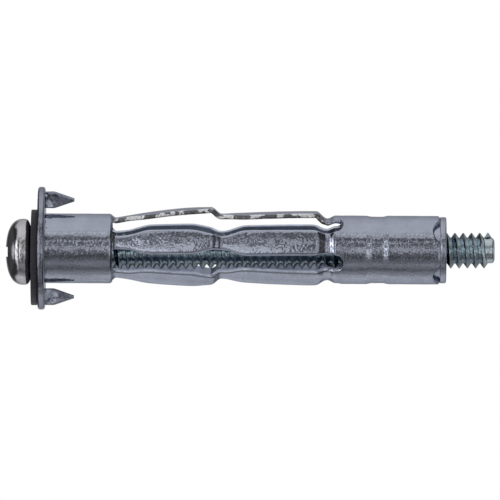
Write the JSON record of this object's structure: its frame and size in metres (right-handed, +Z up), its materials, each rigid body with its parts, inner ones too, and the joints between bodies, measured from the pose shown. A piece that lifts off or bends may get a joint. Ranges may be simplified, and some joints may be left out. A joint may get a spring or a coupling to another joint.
{
  "type": "hollow wall anchor",
  "caption": "Slotted metal sleeve with a pronged flange, an end nut and a machine screw; tightening the screw folds the legs out behind a thin wall.",
  "frame": {"origin": "centre of the flange's face that rests on the wall", "axes": "+X along the screw into the wall, from the head towards the thread's tip; +Z up, through the upper prong"},
  "size_m": [0.0469, 0.0118, 0.0118],
  "materials": {
    "plate_zinc": "bright zinc plate, satin",
    "sleeve_zinc": "bright zinc plate with a cool blue-grey tone",
    "nut_zinc": "bright zinc plate",
    "screw_zinc": "polished zinc plate, darker on the head",
    "fibre": "matt dark fibre"
  },
  "bodies": {
    "flange": {"flange_plate": "plate_zinc", "front_collar": "sleeve_zinc"},
    "front_link_1": {"front_leg_1": "sleeve_zinc"},
    "front_link_2": {"front_leg_2": "sleeve_zinc"},
    "front_link_3": {"front_leg_3": "sleeve_zinc"},
    "front_link_4": {"front_leg_4": "sleeve_zinc"},
    "front_link_5": {"front_leg_5": "sleeve_zinc"},
    "rear_link_1": {"rear_leg_1": "sleeve_zinc"},
    "rear_link_2": {"rear_leg_2": "sleeve_zinc"},
    "rear_link_3": {"rear_leg_3": "sleeve_zinc"},
    "rear_link_4": {"rear_leg_4": "sleeve_zinc"},
    "rear_link_5": {"rear_leg_5": "sleeve_zinc"},
    "tail": {"tail_collar": "sleeve_zinc", "nut": "nut_zinc"},
    "washer": {"washer": "fibre"},
    "screw": {"screw": "screw_zinc"}
  },
  "joints": [
    {"name": "front_fold_2", "type": "hinge", "parent": "flange", "child": "front_link_2", "pos_m": [0.00682, -0.00293, 0.00063], "axis": [0, -0.2113, -0.9774], "range_deg": [0, 80]},
    {"name": "front_fold_1", "type": "hinge", "parent": "flange", "child": "front_link_1", "pos_m": [0.00682, -0.0003, 0.00298], "axis": [0, -0.9949, -0.1011], "range_deg": [0, 80]},
    {"name": "front_fold_3", "type": "hinge", "parent": "flange", "child": "front_link_3", "pos_m": [0.00682, -0.00151, -0.00259], "axis": [0, 0.8643, -0.503], "range_deg": [0, 80]},
    {"name": "front_fold_4", "type": "hinge", "parent": "flange", "child": "front_link_4", "pos_m": [0.00682, 0.002, -0.00224], "axis": [0, 0.7455, 0.6665], "range_deg": [0, 80]},
    {"name": "front_fold_5", "type": "hinge", "parent": "flange", "child": "front_link_5", "pos_m": [0.00682, 0.00274, 0.00121], "axis": [0, -0.4035, 0.915], "range_deg": [0, 80]},
    {"name": "middle_fold_1", "type": "hinge", "parent": "front_link_1", "child": "rear_link_1", "pos_m": [0.01695, -0.00026, 0.00253], "axis": [0, -0.9949, -0.1011], "range_deg": [-160, 0]},
    {"name": "middle_fold_2", "type": "hinge", "parent": "front_link_2", "child": "rear_link_2", "pos_m": [0.01695, -0.00248, 0.00054], "axis": [0, -0.2113, -0.9774], "range_deg": [-160, 0]},
    {"name": "middle_fold_3", "type": "hinge", "parent": "front_link_3", "child": "rear_link_3", "pos_m": [0.01695, -0.00128, -0.0022], "axis": [0, 0.8643, -0.503], "range_deg": [-160, 0]},
    {"name": "middle_fold_4", "type": "hinge", "parent": "front_link_4", "child": "rear_link_4", "pos_m": [0.01695, 0.00169, -0.00189], "axis": [0, 0.7455, 0.6665], "range_deg": [-160, 0]},
    {"name": "middle_fold_5", "type": "hinge", "parent": "front_link_5", "child": "rear_link_5", "pos_m": [0.01695, 0.00232, 0.00103], "axis": [0, -0.4035, 0.915], "range_deg": [-160, 0]},
    {"name": "rear_fold_2", "type": "hinge", "parent": "rear_link_2", "child": "tail", "pos_m": [0.02708, -0.00293, 0.00063], "axis": [0, -0.2113, -0.9774], "range_deg": [0, 80]},
    {"name": "screw_travel", "type": "slide", "parent": "flange", "child": "washer", "axis": [1, 0, 0.0079], "range_m": [-0.00873, 0]},
    {"name": "screw_spin", "type": "hinge", "parent": "washer", "child": "screw", "pos_m": [0.0354, 0, -0.00006], "axis": [1, 0, 0.0079], "range_deg": [-3960, 0]}
  ],
  "couplings": [
    {"joint": "front_fold_1", "follows": "front_fold_2", "ratio": 1},
    {"joint": "front_fold_3", "follows": "front_fold_2", "ratio": 1},
    {"joint": "front_fold_4", "follows": "front_fold_2", "ratio": 1},
    {"joint": "front_fold_5", "follows": "front_fold_2", "ratio": 1},
    {"joint": "middle_fold_1", "follows": "front_fold_2", "ratio": -2},
    {"joint": "middle_fold_2", "follows": "front_fold_2", "ratio": -2},
    {"joint": "middle_fold_3", "follows": "front_fold_2", "ratio": -2},
    {"joint": "middle_fold_4", "follows": "front_fold_2", "ratio": -2},
    {"joint": "middle_fold_5", "follows": "front_fold_2", "ratio": -2},
    {"joint": "rear_fold_2", "follows": "front_fold_2", "ratio": 1},
    {"joint": "screw_spin", "follows": "screw_travel", "rad_per_m": 7915.8}
  ]
}
